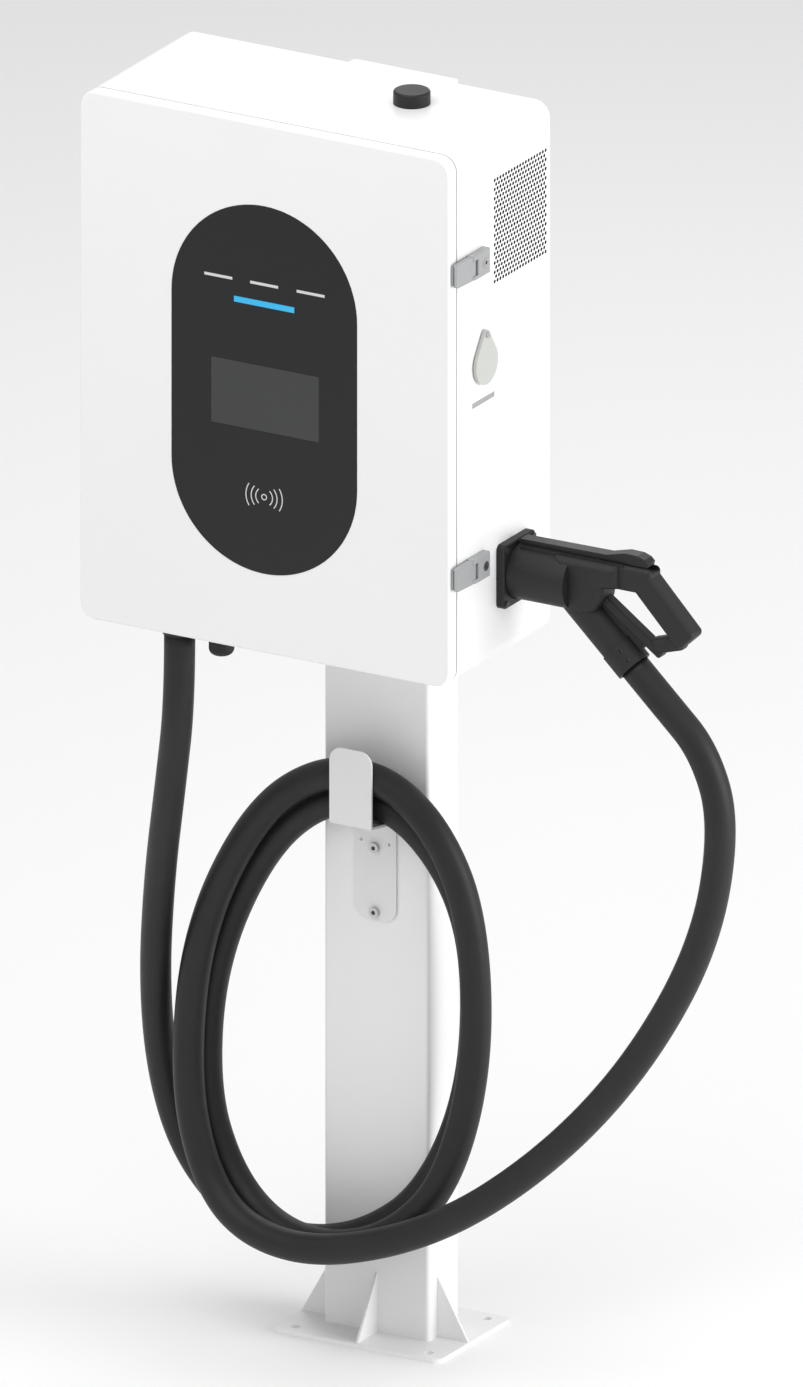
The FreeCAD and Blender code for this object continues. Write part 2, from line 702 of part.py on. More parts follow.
def light_slab(grow, y0, y1):
    w = LIGHT_W / 2 + grow
    h = LIGHT_H / 2 + grow
    return box(-w, w, y0, y1, LIGHT_Z - h, LIGHT_Z + h)


def make_fascia_panel():
    panel = stadium(FASCIA_W, FASCIA_H, FASCIA_Z, FASCIA_FRONT, CARRIER_FRONT)
    y = (FASCIA_FRONT - 1, CARRIER_FRONT + 1)
    return cut(panel, screen_slab(SCREEN_GAP, *y), light_slab(SCREEN_GAP, *y))


def make_hmi_carrier():
    w = FASCIA_W + 2 * CARRIER_RIM
    h = FASCIA_H + 2 * CARRIER_RIM
    plate = stadium(w, h, FASCIA_Z, CARRIER_FRONT, CARRIER_BACK)
    y = (CARRIER_FRONT - 1, CARRIER_BACK + 1)
    return cut(plate, screen_slab(SCREEN_GAP, *y), light_slab(SCREEN_GAP, *y))


def make_display_module():
    glass = screen_slab(0, FASCIA_FRONT + 0.2, CARRIER_BACK)
    back = screen_slab(7.0, CARRIER_BACK, CARRIER_BACK + 8)
    board = screen_slab(1.0, CARRIER_BACK + 8, CARRIER_BACK + 11)
    return fuse(glass, back, board)


def make_led_light_bar():
    bar = light_slab(0, FASCIA_FRONT - 0.3, CARRIER_BACK)
    back = light_slab(4.0, CARRIER_BACK, CARRIER_BACK + 4)
    return fuse(bar, back)


def make_card_reader_board():
    return box(-45, 45, CARRIER_BACK, CARRIER_BACK + 3, READER_Z - 30, READER_Z + 30)


# ---- latches --------------------------------------------------------------------------------------------
def make_latch_bases():
    bases = []
    half = LATCH_H / 2
    outer = CAB_SIDE + LATCH_OUT_BACK
    for z in LATCH_Z:
        outline = [
            (CAB_SIDE, LATCH_PIN_Y),
            (outer, LATCH_PIN_Y),
            (outer, LATCH_BASE_BACK - 3),
            (outer - 3, LATCH_BASE_BACK),
            (CAB_SIDE, LATCH_BASE_BACK),
        ]
        nose = along_z(LATCH_PIN_X, LATCH_PIN_Y, z - half, z + half, LATCH_NOSE_R)
        block = fuse(prism_z(outline, z - half, z + half), nose)
        inner = half - LATCH_CHEEK
        slot_back = LATCH_PIN_Y + LATCH_KNUCKLE_R + 0.8
        slot = box(CAB_SIDE + 0.8, outer + 1, LATCH_PIN_Y - 8, slot_back, z - inner, z + inner)
        bore = along_z(LATCH_PIN_X, LATCH_PIN_Y, z - half - 1, z + half + 1, LATCH_PIN_R)
        lock = along_x(outer - 6, outer + 1, LOCK_Y, z, LOCK_R)
        bases.append(cut(block, slot, bore, lock))
    return group(bases)


def make_latch_locks():
    locks = []
    for z in LATCH_Z:
        x0 = CAB_SIDE + LATCH_OUT_BACK - 6
        x1 = CAB_SIDE + LATCH_OUT_BACK + 0.6
        barrel = along_x(x0, x1, LOCK_Y, z, LOCK_R)
        locks.append(barrel.cut(along_x(x1 - 4, x1 + 1, LOCK_Y, z, LOCK_HOLE_R)))
    return group(locks)


def make_latch_pins():
    half = LATCH_H / 2
    return group(along_z(LATCH_PIN_X, LATCH_PIN_Y, z - half, z + half, LATCH_PIN_R) for z in LATCH_Z)


def make_latch_lever(z):
    half = LATCH_H / 2
    under = CAB_SIDE + CATCH_T + MOVE_GAP
    tip = DOOR_FRONT + 4
    heel = LATCH_PIN_Y - LATCH_NOSE_R - 0.4
    outline = [
        (under, tip + 2),
        (CAB_SIDE + LATCH_OUT_FRONT - 1, tip),
        (CAB_SIDE + LATCH_OUT_FRONT + 1, tip + 2),
        (LATCH_PIN_X + LATCH_KNUCKLE_R, heel),
        (under, heel),
    ]
    pad = prism_z(outline, z - half, z + half)
    rounded = box(CAB_SIDE - 1, CAB_SIDE + 30, tip, LATCH_PIN_Y, z - half, z + half)
    front = [e for e in edges_along(rounded, (1, 0, 0)) if e.CenterOfMass.y < tip + 1]
    pad = pad.common(rounded.makeFillet(LATCH_CORNER_R, front))
    inner = half - LATCH_CHEEK - MOVE_GAP
    knuckle = along_z(LATCH_PIN_X, LATCH_PIN_Y, z - inner, z + inner, LATCH_KNUCKLE_R)
    arm_out = LATCH_PIN_X + LATCH_KNUCKLE_R
    arm = box(LATCH_PIN_X - 2.5, arm_out, heel - 1, LATCH_PIN_Y, z - inner, z + inner)
    bore = along_z(LATCH_PIN_X, LATCH_PIN_Y, z - half, z + half, LATCH_PIN_R + SHAFT_GAP)
    return fuse(pad, knuckle, arm).cut(bore)


def make_latch_catches():
    catches = []
    for z in LATCH_Z:
        y0 = DOOR_FRONT + 5
        y1 = DOOR_BACK - 1.5
        catches.append(box(CAB_SIDE, CAB_SIDE + CATCH_T, y0, y1, z - LATCH_H / 2 + 3, z + LATCH_H / 2 - 3))
    return group(catches)


# ---- stop button and cover ----------------------------------------------------------------------------
def make_estop_housing():
    rim = along_x(CAB_SIDE, CAB_SIDE + STOP_RIM_T, STOP_Y, STOP_Z, STOP_RIM_R)
    cup = along_x(CAB_SIDE - STOP_CUP_DEPTH - 3, CAB_SIDE, STOP_Y, STOP_Z, STOP_HOLE_R + 1)
    hollow = along_x(CAB_SIDE - STOP_CUP_DEPTH, CAB_SIDE + 2, STOP_Y, STOP_Z, STOP_HOLE_R - 1)
    x1 = CAB_SIDE - STOP_CUP_DEPTH - 3
    block = box(x1 - 30, x1, STOP_Y - 15, STOP_Y + 15, STOP_Z - 15, STOP_Z + 15)
    bore = along_x(x1 - 26, x1 + 4, STOP_Y, STOP_Z, STEM_R + SHAFT_GAP)
    return fuse(rim, cup, block).cut(hollow).cut(bore)


def make_estop_stem():
    return along_x(STEM_BACK, STEM_FRONT, STOP_Y, STOP_Z, STEM_R)


def make_estop_button():
    head = along_x(BUTTON_BACK, BUTTON_FRONT, STOP_Y, STOP_Z, BUTTON_R)
    rim = [e for e in head.Edges if isinstance(e.Curve, Part.Circle) and e.CenterOfMass.x > BUTTON_FRONT - 1]
    head = head.makeFillet(4.0, rim)
    bore = along_x(BUTTON_BACK - 1, STEM_FRONT + SHAFT_GAP, STOP_Y, STOP_Z, STEM_R + SHAFT_GAP)
    return head.cut(bore)


def make_estop_cover():
    """A drop shape: a disc joined to the small pivot end by its two tangents."""
    pivot_z = STOP_Z + COVER_PIVOT_UP
    lean = math.acos((COVER_R - COVER_TIP_R) / COVER_PIVOT_UP)
    sides = []
    for r, z in ((COVER_R, STOP_Z), (COVER_TIP_R, pivot_z)):
        sides.append((r * math.sin(lean), z + r * math.cos(lean)))
    web = [(STOP_Y - sides[0][0], sides[0][1]), (STOP_Y + sides[0][0], sides[0][1])]
    web += [(STOP_Y + sides[1][0], sides[1][1]), (STOP_Y - sides[1][0], sides[1][1])]
    disc = along_x(COVER_BACK, COVER_FRONT, STOP_Y, STOP_Z, COVER_R)
    tip = along_x(COVER_BACK, COVER_FRONT, STOP_Y, pivot_z, COVER_TIP_R)
    bore = along_x(COVER_BACK - 1, COVER_FRONT + 1, STOP_Y, pivot_z, COVER_SCREW_R + SHAFT_GAP)
    return fuse(disc, tip, prism_x(web, COVER_BACK, COVER_FRONT)).cut(bore)


def make_cover_screw():
    z = STOP_Z + COVER_PIVOT_UP
    under = COVER_FRONT + MOVE_GAP
    reach = under - CAB_SIDE + SHEET + 6
    screw = bolt(under, STOP_Y, z, (-1, 0, 0), COVER_SCREW_R, reach, 4.0, 1.8)
    spacer = along_x(CAB_SIDE, COVER_BACK - 0.1, STOP_Y, z, 4.5)
    nut = along_x(CAB_SIDE - SHEET - 4, CAB_SIDE - SHEET, STOP_Y, z, 4.5)
    return fuse(screw, spacer, nut)


# ---- gun holder -----------------------------------------------------------------------------------------
def make_gun_holder():
    half_y = HOLDER_W / 2
    half_z = HOLDER_H / 2
    y = (HOLDER_Y - half_y, HOLDER_Y + half_y)
    flange = box(CAB_SIDE, HOLDER_FACE, *y, HOLDER_Z - half_z, HOLDER_Z + half_z)
    flange = flange.makeFillet(8.0, edges_along(flange, (1, 0, 0)))
    face = [e for e in flange.Edges if abs(e.CenterOfMass.x - HOLDER_FACE) < 0.1]
    flange = flange.makeChamfer(1.5, face)
    cup_end = CAB_SIDE - HOLDER_CUP_DEPTH
    cup = along_x(cup_end, CAB_SIDE, HOLDER_Y, HOLDER_Z, HOLDER_BORE_R + HOLDER_CUP_WALL)
    seat_end = cup_end - HOLDER_SEAT_DEPTH + 20
    seat = along_x(seat_end, cup_end, HOLDER_Y, HOLDER_Z, NOSE_R + NOSE_GAP + HOLDER_CUP_WALL)
    wide = along_x(cup_end + 3, HOLDER_FACE + 1, HOLDER_Y, HOLDER_Z, HOLDER_BORE_R)
    narrow = along_x(seat_end + 3, cup_end + 4, HOLDER_Y, HOLDER_Z, NOSE_R + NOSE_GAP)
    holder = cut(fuse(flange, cup, seat), wide, narrow)
    for sy in (-1, 1):
        for sz in (-1, 1):
            y = HOLDER_Y + sy * HOLDER_SCREW_Y / 2
            z = HOLDER_Z + sz * HOLDER_SCREW_Z / 2
            holder = holder.cut(along_x(CAB_SIDE - 1, HOLDER_FACE + 1, y, z, HOLDER_SCREW_R))
    return holder


def make_holder_screws():
    screws = []
    for sy in (-1, 1):
        for sz in (-1, 1):
            y = HOLDER_Y + sy * HOLDER_SCREW_Y / 2
            z = HOLDER_Z + sz * HOLDER_SCREW_Z / 2
            screws.append(bolt(HOLDER_FACE, y, z, (-1, 0, 0), HOLDER_SCREW_R, HOLDER_T + 8, 3.6, 2.2))
    return group(screws)


# ---- gun ------------------------------------------------------------------------------------------------
def gun_places(points):
    """Places in the gun's plane, given as distances out of the cabinet's side and above the barrel's axis."""
    return [(CAB_SIDE + out, HOLDER_Z + up) for out, up in points]


def gun_slab(points, thick, edge_r):
    """A flat outline in the gun's plane, with its long edges rounded."""
    slab = prism_y(gun_places(points), HOLDER_Y - thick / 2, HOLDER_Y + thick / 2)
    rim = [e for e in slab.Edges if abs(abs(e.CenterOfMass.y - HOLDER_Y) - thick / 2) < 0.1]
    return slab.makeFillet(edge_r, rim)


def gun_bar(ends, width, thick, edge_r):
    """A bar in the gun's plane from one end to the other, with all its edges rounded."""
    start, end = gun_places(ends)
    dx = end[0] - start[0]
    dz = end[1] - start[1]
    bar = box(0, math.hypot(dx, dz), -thick / 2, thick / 2, -width / 2, width / 2)
    bar = bar.makeFillet(edge_r, bar.Edges)
    bar.rotate(V(0, 0, 0), V(0, 1, 0), -math.degrees(math.atan2(dz, dx)))
    bar.translate(V(start[0], HOLDER_Y, start[1]))
    return bar


def make_gun_body():
    """The gun's outer form: barrel, head, cable branch and the closed rear grip."""
    barrel = along_x(GUN_BACK, BARREL_END, HOLDER_Y, HOLDER_Z, GUN_R)
    head = gun_slab(HEAD_OUTLINE, HEAD_T, HEAD_EDGE_R)
    hood = box(*HOOD, HOLDER_Y - HOOD_HALF_W, HOLDER_Y + HOOD_HALF_W, HOLDER_Z + 20, GUN_TOP)
    start = BRANCH_END - BRANCH_DIR * BRANCH_L
    branch = Part.makeCylinder(BRANCH_R, BRANCH_L - COLLAR_L, start, BRANCH_DIR)
    top_bar = gun_bar(TOP_BAR, HANDLE_W + 1, HANDLE_T, HANDLE_EDGE_R)
    handle = gun_bar(HANDLE, HANDLE_W, HANDLE_T, HANDLE_EDGE_R)
    foot = gun_bar(FOOT, FOOT_W, FOOT_T, 8.0)
    strip = gun_bar(STRIP, STRIP_W, STRIP_T, 3.0)
    web = gun_slab(WEB_OUTLINE, WEB_T, 1.0)
    body = fuse(barrel, head, hood, branch, top_bar, handle, foot, strip, web)
    nose_bore = along_x(GUN_BACK - 1, NOSE_END + 1, HOLDER_Y, HOLDER_Z, NOSE_R)
    cable_bore = Part.makeCylinder(CABLE_R, BRANCH_L - COLLAR_L - 36, start + BRANCH_DIR * 38, BRANCH_DIR)
    lever_half = LEVER_W / 2 + 1
    y = (HOLDER_Y - lever_half, HOLDER_Y + lever_half)
    lever_room = box(LEVER_PIN_X - 3, LEVER_PIN_X + 77, *y, GUN_TOP - 6.5, GUN_TOP + 1)
    lug_room = box(LEVER_PIN_X - 8, LEVER_PIN_X + 8, HOLDER_Y - 5, HOLDER_Y + 5, GUN_TOP - 13, GUN_TOP + 1)
    pin_bore = along_y(LEVER_PIN_X, HOLDER_Y - 10, HOLDER_Y + 10, LEVER_PIN_Z, LEVER_PIN_R)
    return cut(body, nose_bore, cable_bore, lever_room, lug_room, pin_bore)


def gun_half(body, left):
    """The half of the gun on one side of its middle plane."""
    y0, y1 = (HOLDER_Y - 60, HOLDER_Y) if left else (HOLDER_Y, HOLDER_Y + 60)
    return body.common(box(CAB_SIDE - 64, CAB_SIDE + 336, y0, y1, HOLDER_Z - 150, HOLDER_Z + 100))


PIN_RING = (
    (0, 17, 5.5),
    (0, -17, 5.5),
    (15, 6, 3.0),
    (-15, 6, 3.0),
    (15, -8, 3.0),
    (-15, -8, 3.0),
    (0, 0, 4.0),
)


def make_gun_nose():
    """The insulated nose that plugs in, with its contact wells."""
    nose_start = CAB_SIDE - HOLDER_CUP_DEPTH - HOLDER_SEAT_DEPTH + 24
    nose = along_x(nose_start, NOSE_END, HOLDER_Y, HOLDER_Z, NOSE_R)
    for dy, dz, r in PIN_RING:
        nose = nose.cut(along_x(nose_start - 1, nose_start + 30, HOLDER_Y + dy, HOLDER_Z + dz, r))
    return nose


def make_gun_lever():
    base = GUN_TOP + MOVE_GAP
    points = [
        (CAB_SIDE + 15, base + 1),
        (CAB_SIDE + 18, base),
        (CAB_SIDE + 198, base),
        (CAB_SIDE + 199, base + 5),
        (CAB_SIDE + 194, base + 10),
        (CAB_SIDE + 184, base + 13.5),
        (CAB_SIDE + 166, base + 14),
        (CAB_SIDE + 150, base + 10),
        (CAB_SIDE + 140, base + 7.5),
        (CAB_SIDE + 17, base + 6.5),
        (CAB_SIDE + 15, base + 5),
    ]
    bar = prism_y(points, HOLDER_Y - LEVER_W / 2, HOLDER_Y + LEVER_W / 2)
    lug = box(LEVER_PIN_X - 6, LEVER_PIN_X + 6, HOLDER_Y - 4, HOLDER_Y + 4, LEVER_PIN_Z - 5, base + 2)
    bore = along_y(LEVER_PIN_X, HOLDER_Y - 10, HOLDER_Y + 10, LEVER_PIN_Z, LEVER_PIN_R + SHAFT_GAP)
    return fuse(bar, lug).cut(bore)


def make_gun_lever_pin():
    return along_y(LEVER_PIN_X, HOLDER_Y - 10, HOLDER_Y + 10, LEVER_PIN_Z, LEVER_PIN_R)


def make_gun_collar():
    collar = Part.makeCylinder(COLLAR_R, COLLAR_L, BRANCH_END - BRANCH_DIR * COLLAR_L, BRANCH_DIR)
    for centre in COLLAR_SCREWS:
        collar = collar.cut(Part.makeCylinder(COLLAR_SCREW_R, 14, centre + V(0, -15, 0), V(0, -1, 0)))
    return collar


def make_gun_screws():
    return group(Part.makeCylinder(COLLAR_SCREW_R, 5, c + V(0, -15, 0), V(0, -1, 0)) for c in COLLAR_SCREWS)


# ---- hook -------------------------------------------------------------------------------------------------
def make_cable_hook():
    """A bent strip: a foot on the column, a floor that slopes back to it and a tongue in front."""
    front = COLUMN_FRONT - HOOK_REACH
    inner = front + HOOK_T
    floor_at_foot = HOOK_FLOOR_Z - (HOOK_REACH - HOOK_T) * HOOK_SLOPE
    floor_top = HOOK_FLOOR_Z + HOOK_T / math.cos(math.atan(HOOK_SLOPE))
    profile = [
        (front, HOOK_TOP),
        (front, HOOK_FLOOR_Z),
        (COLUMN_FRONT - HOOK_T, floor_at_foot),
        (COLUMN_FRONT - HOOK_T, HOOK_BOTTOM),
        (COLUMN_FRONT, HOOK_BOTTOM),
        (COLUMN_FRONT, floor_top - HOOK_REACH * HOOK_SLOPE),
        (inner, floor_top - HOOK_T * HOOK_SLOPE),
        (inner, HOOK_TOP),
    ]
    strip = prism_x(profile, -HOOK_W / 2, HOOK_W / 2)
    top = [e for e in edges_along(strip, (0, 1, 0)) if e.CenterOfMass.z > HOOK_TOP - 1]
    strip = strip.makeFillet(HOOK_TOP_R, top)
    foot = [e for e in edges_along(strip, (0, 1, 0)) if e.CenterOfMass.z < HOOK_BOTTOM + 1]
    strip = strip.makeFillet(HOOK_FOOT_R, foot)
    y = (COLUMN_FRONT - HOOK_T - 1, COLUMN_FRONT + 1)
    for z in HOOK_SCREW_Z:
        strip = strip.cut(along_y(0, *y, z, HOOK_SCREW_R))
    for s in (-1, 1):
        strip = strip.cut(along_y(s * HOOK_HOLE_X, *y, HOOK_HOLE_Z, HOOK_HOLE_R))
    return strip


def make_hook_screws():
    under = COLUMN_FRONT - HOOK_T
    reach = HOOK_T + COLUMN_WALL + 5
    return group(bolt(0, under, z, (0, 1, 0), HOOK_SCREW_R, reach, HOOK_HEAD_R, 5.0) for z in HOOK_SCREW_Z)


# ---- cable ------------------------------------------------------------------------------------------------
def halfway(a, b):
    return tuple((p + q) / 2 for p, q in zip(a, b))


def cable_tube(name, points):
    """Straight runs joined by tangent arcs, each as large as its two runs allow, swept by a disc."""
    points = [V(*p) for p in points]
    edges = []
    radii = []
    here = points[0]
    for before, corner, after in zip(points, points[1:], points[2:]):
        run_in = corner - before
        run_out = after - corner
        turn = run_in.getAngle(run_out)
        reach = ARC_SHARE * min(run_in.Length, run_out.Length)
        way_in = V(run_in).normalize()
        way_out = V(run_out).normalize()
        start = corner - way_in * reach
        end = corner + way_out * reach
        radius = reach / math.tan(turn / 2)
        inward = (way_out - way_in).normalize()
        middle = corner + inward * (radius / math.cos(turn / 2) - radius)
        edges.append(Part.LineSegment(here, start).toShape())
        edges.append(Part.Arc(start, middle, end).toShape())
        radii.append(round(radius))
        here = end
    edges.append(Part.LineSegment(here, points[-1]).toShape())
    path = Part.Wire(edges)
    way = (points[1] - points[0]).normalize()
    section = Part.Wire([Part.makeCircle(CABLE_R, points[0], way)])
    tube = path.makePipeShell([section], True, False)
    expected = math.pi * CABLE_R**2 * path.Length
    ratio = round(tube.Volume / expected, 4)
    print(name, "length", round(path.Length), "radii", radii, "volume ratio", ratio)
    return tube


LOOPS_START = halfway(GLAND_LEAD[-2], GLAND_LEAD[-1])
TAIL_START = halfway(HOOK_TURNS[-1], GUN_LEAD[0])


def make_cable_lead():
    return cable_tube("lead", GLAND_LEAD[:-1] + (LOOPS_START,))


def make_cable_loops():
    return cable_tube("loops", (LOOPS_START, GLAND_LEAD[-1]) + HOOK_TURNS + (TAIL_START,))


def make_cable_tail():
    return cable_tube("tail", (TAIL_START,) + GUN_LEAD)


# ---- inside the cabinet -----------------------------------------------------------------------------------
def make_mounting_plate():
    plate = box(-245, 200, PLATE_FRONT, PLATE_BACK, CAB_BOTTOM + 13, CAB_TOP - 13)
    feet = []
    for x in (-225, 180):
        for z in (CAB_BOTTOM + 28, CAB_TOP - 28):
            feet.append(along_y(x, PLATE_BACK, CAB_BACK - SHEET, z, 6.0))
    wire_hole = along_y(WIRE_HOLE_X, PLATE_FRONT - 1, PLATE_BACK + 1, WIRE_HOLE_Z, WIRE_HOLE_R)
    return fuse(plate, *feet).cut(wire_hole)


def make_power_module():
    case = box(-238, 62, PLATE_FRONT - 92, PLATE_FRONT, CAB_BOTTOM + 93, CAB_TOP - 163)
    handle = cut(
        box(-120, -60, PLATE_FRONT - 120, PLATE_FRONT - 92, CAB_BOTTOM + 103, CAB_BOTTOM + 113),
        box(-112, -68, PLATE_FRONT - 112, PLATE_FRONT - 91, CAB_BOTTOM + 102, CAB_BOTTOM + 114),
    )
    return fuse(case, handle)


def make_din_rail():
    return box(RACK_X - 3, RACK_X + 121, RAIL_FACE, PLATE_FRONT, TOGGLE_Z - 17.5, TOGGLE_Z + 17.5)


def make_breaker_body():
    case = box(RACK_X, RACK_X + 56, RAIL_FACE - 62, RAIL_FACE, TOGGLE_Z - 43.5, TOGGLE_Z + 43.5)
    nose = box(RACK_X + 4, RACK_X + 52, RAIL_FACE - 72, RAIL_FACE - 62, TOGGLE_Z - 22.5, TOGGLE_Z + 22.5)
    slot = box(RACK_X + 12, RACK_X + 44, RAIL_FACE - 73, RAIL_FACE - 57, TOGGLE_Z - 15.5, TOGGLE_Z + 15.5)
    axle = along_x(RACK_X + 11, RACK_X + 45, TOGGLE_Y, TOGGLE_Z, 2.0)
    return fuse(cut(fuse(case, nose), slot), axle)


def make_breaker_toggle():
    drum = along_x(RACK_X + 13, RACK_X + 43, TOGGLE_Y, TOGGLE_Z, 7.5)
    lever = box(RACK_X + 16, RACK_X + 40, TOGGLE_Y - 20, TOGGLE_Y, TOGGLE_Z - 3, TOGGLE_Z + 3)
    lever.rotate(V(0, TOGGLE_Y, TOGGLE_Z), V(1, 0, 0), -25)
    bore = along_x(RACK_X + 12, RACK_X + 44, TOGGLE_Y, TOGGLE_Z, 2.0 + SHAFT_GAP)
    return fuse(drum, lever).cut(bore)


def make_energy_meter():
    case = box(RACK_X + 60, RACK_X + 114, RAIL_FACE - 58, RAIL_FACE, TOGGLE_Z - 43.5, TOGGLE_Z + 43.5)
    return case.makeFillet(2.0, edges_along(case, (0, 1, 0)))


def make_dc_contactors():
    units = []
    for i in range(2):
        x = RACK_X + 60 * i
        can = box(x, x + 50, PLATE_FRONT - 60, PLATE_FRONT, CAB_MID - 65, CAB_MID + 5)
        studs = [along_y(x + dx, PLATE_FRONT - 70, PLATE_FRONT - 60, CAB_MID - 30, 5.0) for dx in (12, 38)]
        units.append(fuse(can, *studs))
    return group(units)


def make_control_board():
    board = box(RACK_X, RACK_X + 110, PLATE_FRONT - 22, PLATE_FRONT - 20, CAB_MID - 175, CAB_MID - 85)
    posts = []
    for x in (RACK_X + 6, RACK_X + 104):
        for z in (CAB_MID - 169, CAB_MID - 91):
            posts.append(along_y(x, PLATE_FRONT - 20, PLATE_FRONT, z, 3.0))
    chips = [
        box(RACK_X + 20, RACK_X + 50, PLATE_FRONT - 34, PLATE_FRONT - 22, CAB_MID - 155, CAB_MID - 135),
        box(RACK_X + 60, RACK_X + 96, PLATE_FRONT - 30, PLATE_FRONT - 22, CAB_MID - 130, CAB_MID - 97),
    ]
    return fuse(board, *posts, *chips)


def make_aux_power_supply():
    return box(RACK_X, RACK_X + 98, PLATE_FRONT - 40, PLATE_FRONT, CAB_TOP - 163, CAB_TOP - 43)


def make_terminal_block():
    block = box(-200, 40, PLATE_FRONT - 38, PLATE_FRONT, CAB_BOTTOM + 33, CAB_BOTTOM + 65)
    y = (PLATE_FRONT - 39, PLATE_FRONT - 20)
    wells = [along_y(-185 + 30 * i, *y, CAB_BOTTOM + 49, 6.0) for i in range(8)]
    return cut(block, *wells)


def make_earth_bar():
    bar = box(RACK_X, RACK_X + 110, PLATE_FRONT - 14, PLATE_FRONT - 8, CAB_BOTTOM + 33, CAB_BOTTOM + 53)
    z = (CAB_BOTTOM + 37, CAB_BOTTOM + 49)
    feet = [box(x, x + 8, PLATE_FRONT - 8, PLATE_FRONT, *z) for x in (RACK_X + 2, RACK_X + 100)]
    return fuse(bar, *feet)


def main():
    os.makedirs("parts", exist_ok=True)
    gun_body = make_gun_body()
    nodes = {
        "base_plate": make_base_plate(),
        "base_ribs": make_base_ribs(),
        "column_tube": make_column_tube(),
        "column_cap": make_column_cap(),
        "mounting_rails": make_mounting_rails(),
        "rail_bolts": make_rail_bolts(),
        "cabinet_shell": make_cabinet_shell(),
        "vent_panels": make_vent_panels(),
        "vent_filters": make_vent_filters(),
        "fan_frame": make_fan_frame(),
        "fan_rotor": make_fan_rotor(),
        "antenna_cap": make_antenna_cap(),
        "output_gland": make_output_gland(),
        "supply_gland": make_supply_gland(),
        "hinge_fixed_leaves": make_hinge_fixed_leaves(),
        "hinge_door_leaves": make_hinge_door_leaves(),
        "hinge_pins": make_hinge_pins(),
        "door_panel": make_door_panel(),
        "door_seal": make_door_seal(),
        "fascia_panel": make_fascia_panel(),
        "hmi_carrier": make_hmi_carrier(),
        "display_module": make_display_module(),
        "led_light_bar": make_led_light_bar(),
        "card_reader_board": make_card_reader_board(),
        "latch_bases": make_latch_bases(),
        "latch_locks": make_latch_locks(),
        "latch_pins": make_latch_pins(),
        "latch_lever_lower": make_latch_lever(LATCH_Z[0]),
        "latch_lever_upper": make_latch_lever(LATCH_Z[1]),
        "latch_catches": make_latch_catches(),
        "estop_housing": make_estop_housing(),
        "estop_stem": make_estop_stem(),
        "estop_button": make_estop_button(),
        "estop_cover": make_estop_cover(),
        "cover_screw": make_cover_screw(),
        "gun_holder": make_gun_holder(),
        "holder_screws": make_holder_screws(),
        "gun_shell_left": gun_half(gun_body, True),
        "gun_shell_right": gun_half(gun_body, False),
        "gun_nose": make_gun_nose(),
        "gun_lever": make_gun_lever(),
        "gun_lever_pin": make_gun_lever_pin(),
        "gun_collar": make_gun_collar(),
        "gun_screws": make_gun_screws(),
        "cable_hook": make_cable_hook(),
        "hook_screws": make_hook_screws(),
        "cable_lead": make_cable_lead(),
        "cable_loops": make_cable_loops(),
        "cable_tail": make_cable_tail(),
        "mounting_plate": make_mounting_plate(),
        "power_module": make_power_module(),
        "din_rail": make_din_rail(),
        "breaker_body": make_breaker_body(),
        "breaker_toggle": make_breaker_toggle(),
        "energy_meter": make_energy_meter(),
        "dc_contactors": make_dc_contactors(),
        "control_board": make_control_board(),
        "aux_power_supply": make_aux_power_supply(),
        "terminal_block": make_terminal_block(),
        "earth_bar": make_earth_bar(),
    }
    for name, shape in nodes.items():
        solids = len(shape.Solids)
        print(name, solids, "valid" if shape.isValid() else "NOT VALID", round(shape.Volume / 1000, 1))
        shape.exportStep(os.path.join("parts", name + ".step"))
    print(len(nodes), "nodes")


main()
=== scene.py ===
import bpy
import numpy as np
from math import cos, pi, radians, sin
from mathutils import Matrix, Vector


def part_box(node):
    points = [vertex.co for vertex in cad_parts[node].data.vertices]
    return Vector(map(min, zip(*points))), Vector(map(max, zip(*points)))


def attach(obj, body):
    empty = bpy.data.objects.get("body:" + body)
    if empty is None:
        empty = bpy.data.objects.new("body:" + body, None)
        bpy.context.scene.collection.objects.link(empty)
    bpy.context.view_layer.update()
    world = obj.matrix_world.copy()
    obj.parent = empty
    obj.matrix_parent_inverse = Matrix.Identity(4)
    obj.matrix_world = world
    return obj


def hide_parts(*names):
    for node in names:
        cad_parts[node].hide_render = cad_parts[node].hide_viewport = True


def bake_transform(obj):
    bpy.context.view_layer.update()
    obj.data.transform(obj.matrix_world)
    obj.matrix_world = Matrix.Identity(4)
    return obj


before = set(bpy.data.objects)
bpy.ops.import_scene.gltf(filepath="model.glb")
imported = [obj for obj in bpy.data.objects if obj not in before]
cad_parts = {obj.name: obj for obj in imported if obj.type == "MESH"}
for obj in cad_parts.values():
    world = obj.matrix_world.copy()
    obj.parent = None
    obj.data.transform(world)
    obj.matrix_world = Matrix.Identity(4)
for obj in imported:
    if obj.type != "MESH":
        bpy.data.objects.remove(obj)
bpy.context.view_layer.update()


# ---- Camera and light -----------------------------------------------------------------------------
# The post is seen in parallel projection, from its right front and a little above. Four soft square
# lamps and a white sky light it.
AZIMUTH = radians(30)
ELEVATION = radians(20)
FRAME_HEIGHT = 1.7176
AIM = np.array([0.0143, 0.0, 0.8374])
CAMERA_DISTANCE = 8
VIEW_DEPTH = 50
SKY_STRENGTH = 0.64
AWAY = np.array([sin(AZIMUTH) * cos(ELEVATION), -cos(AZIMUTH) * cos(ELEVATION), sin(ELEVATION)])

